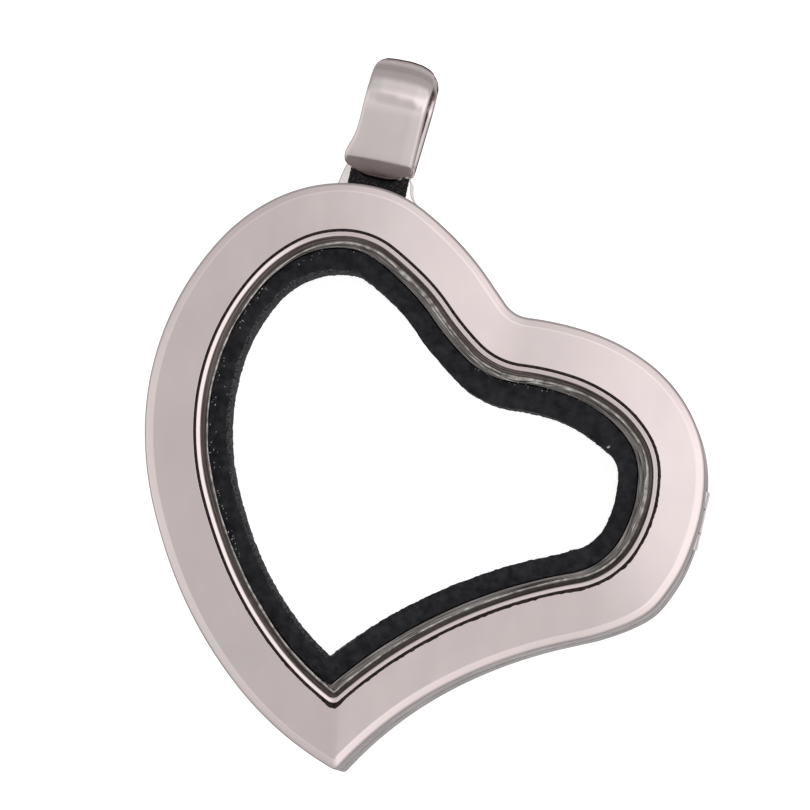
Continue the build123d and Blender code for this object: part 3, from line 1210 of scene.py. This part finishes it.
def floor():
    """A plain white floor, brightest from straight above."""
    clear_selection()
    bpy.ops.mesh.primitive_plane_add(size=1.2, location=(0, 0, 0))
    piece = new_piece("floor")
    material, nodes, links, shader = empty_material("white_floor")
    set_inputs(shader, {"Base Color": (0.5, 0.5, 0.5, 1), "Roughness": 0.9})
    set_inputs(shader, {"Specular IOR Level": 0.0, "Emission Color": (1, 1, 1, 1)})
    slant = nodes.new("ShaderNodeLayerWeight")
    glow = spread(nodes, links, slant.outputs["Facing"], low=0.86, high=0.0, start=0.15, end=0.75)
    links.new(glow, shader.inputs["Emission Strength"])
    piece.data.materials.append(material)


def studio_light():
    """Soft light from all sides, with a large lamp above on the right."""
    world = bpy.data.worlds.new("studio")
    bpy.context.scene.world = world
    world.use_nodes = True
    nodes, links = world.node_tree.nodes, world.node_tree.links
    place = nodes.new("ShaderNodeTexCoord")
    split = nodes.new("ShaderNodeSeparateXYZ")
    links.new(place.outputs["Generated"], split.inputs["Vector"])
    x, y, z = (split.outputs[axis] for axis in "XYZ")

    def combine(operation, first, second):
        node = nodes.new("ShaderNodeMath")
        node.operation = operation
        for socket, value in zip(node.inputs, (first, second)):
            if isinstance(value, float):
                socket.default_value = value
            else:
                links.new(value, socket)
        return node.outputs["Value"]

    def blend(share, first, second):
        node = nodes.new("ShaderNodeMix")
        links.new(share, node.inputs["Factor"])
        links.new(first, node.inputs["A"])
        links.new(second, node.inputs["B"])
        return node.outputs["Result"]

    # The strength is blended from the sky straight above, the sky around that and the low sky
    slant = combine("ADD", x, combine("MULTIPLY", y, 0.25))
    overhead = spread(nodes, links, slant, 0.66, 1.28, -0.06, 0.095, "SMOOTHSTEP")
    sideways = spread(nodes, links, x, 0.88, 1.32, -0.30, 0.30, "SMOOTHSTEP")
    near = spread(nodes, links, y, 0.72, 1.0, -0.60, -0.10, "SMOOTHSTEP")
    far = spread(nodes, links, y, 1.0, 0.72, 0.10, 0.55, "SMOOTHSTEP")
    ends = combine("MULTIPLY", near, far)
    around = combine("MULTIPLY", sideways, ends)
    low = combine("MULTIPLY", spread(nodes, links, y, 0.92, 0.68, 0.0, 0.90), ends)
    dim = spread(nodes, links, z, 0.75, 1.0, 0.0, 0.20)
    low = combine("MULTIPLY", low, dim)
    upper = blend(spread(nodes, links, z, 0.0, 1.0, 0.93, 0.985, "SMOOTHSTEP"), around, overhead)
    all_round = blend(spread(nodes, links, z, 0.0, 1.0, 0.45, 0.75, "SMOOTHSTEP"), low, upper)
    links.new(all_round, nodes["Background"].inputs["Strength"])
    nodes["Background"].inputs["Color"].default_value = (1, 0.995, 0.99, 1)


def photo_camera():
    """The camera above the locket, a little to its right and below it, as in the photograph."""
    pixels_per_mm = 18.73
    frame_pixels = 810
    distance = 400.0
    aim_x, aim_y = -0.267, 3.455
    sensor_width = 36.0
    centre = Vector((outline_x + aim_x, outline_y + aim_y, case_thickness)) * mm
    towards = Vector((0.067, -0.072, 1.0)).normalized()
    camera_data = bpy.data.cameras.new("camera")
    camera_data.sensor_width = sensor_width
    camera_data.lens = sensor_width * distance / (frame_pixels / pixels_per_mm)
    camera_data.clip_start = 0.01
    camera = bpy.data.objects.new("camera", camera_data)
    bpy.context.scene.collection.objects.link(camera)
    right = Vector((0, 1, 0)).cross(towards).normalized()
    above = towards.cross(right)
    camera.location = centre + towards * distance * mm
    camera.rotation_euler = Matrix((right, above, towards)).transposed().to_euler()
    bpy.context.scene.camera = camera


floor()
studio_light()
photo_camera()
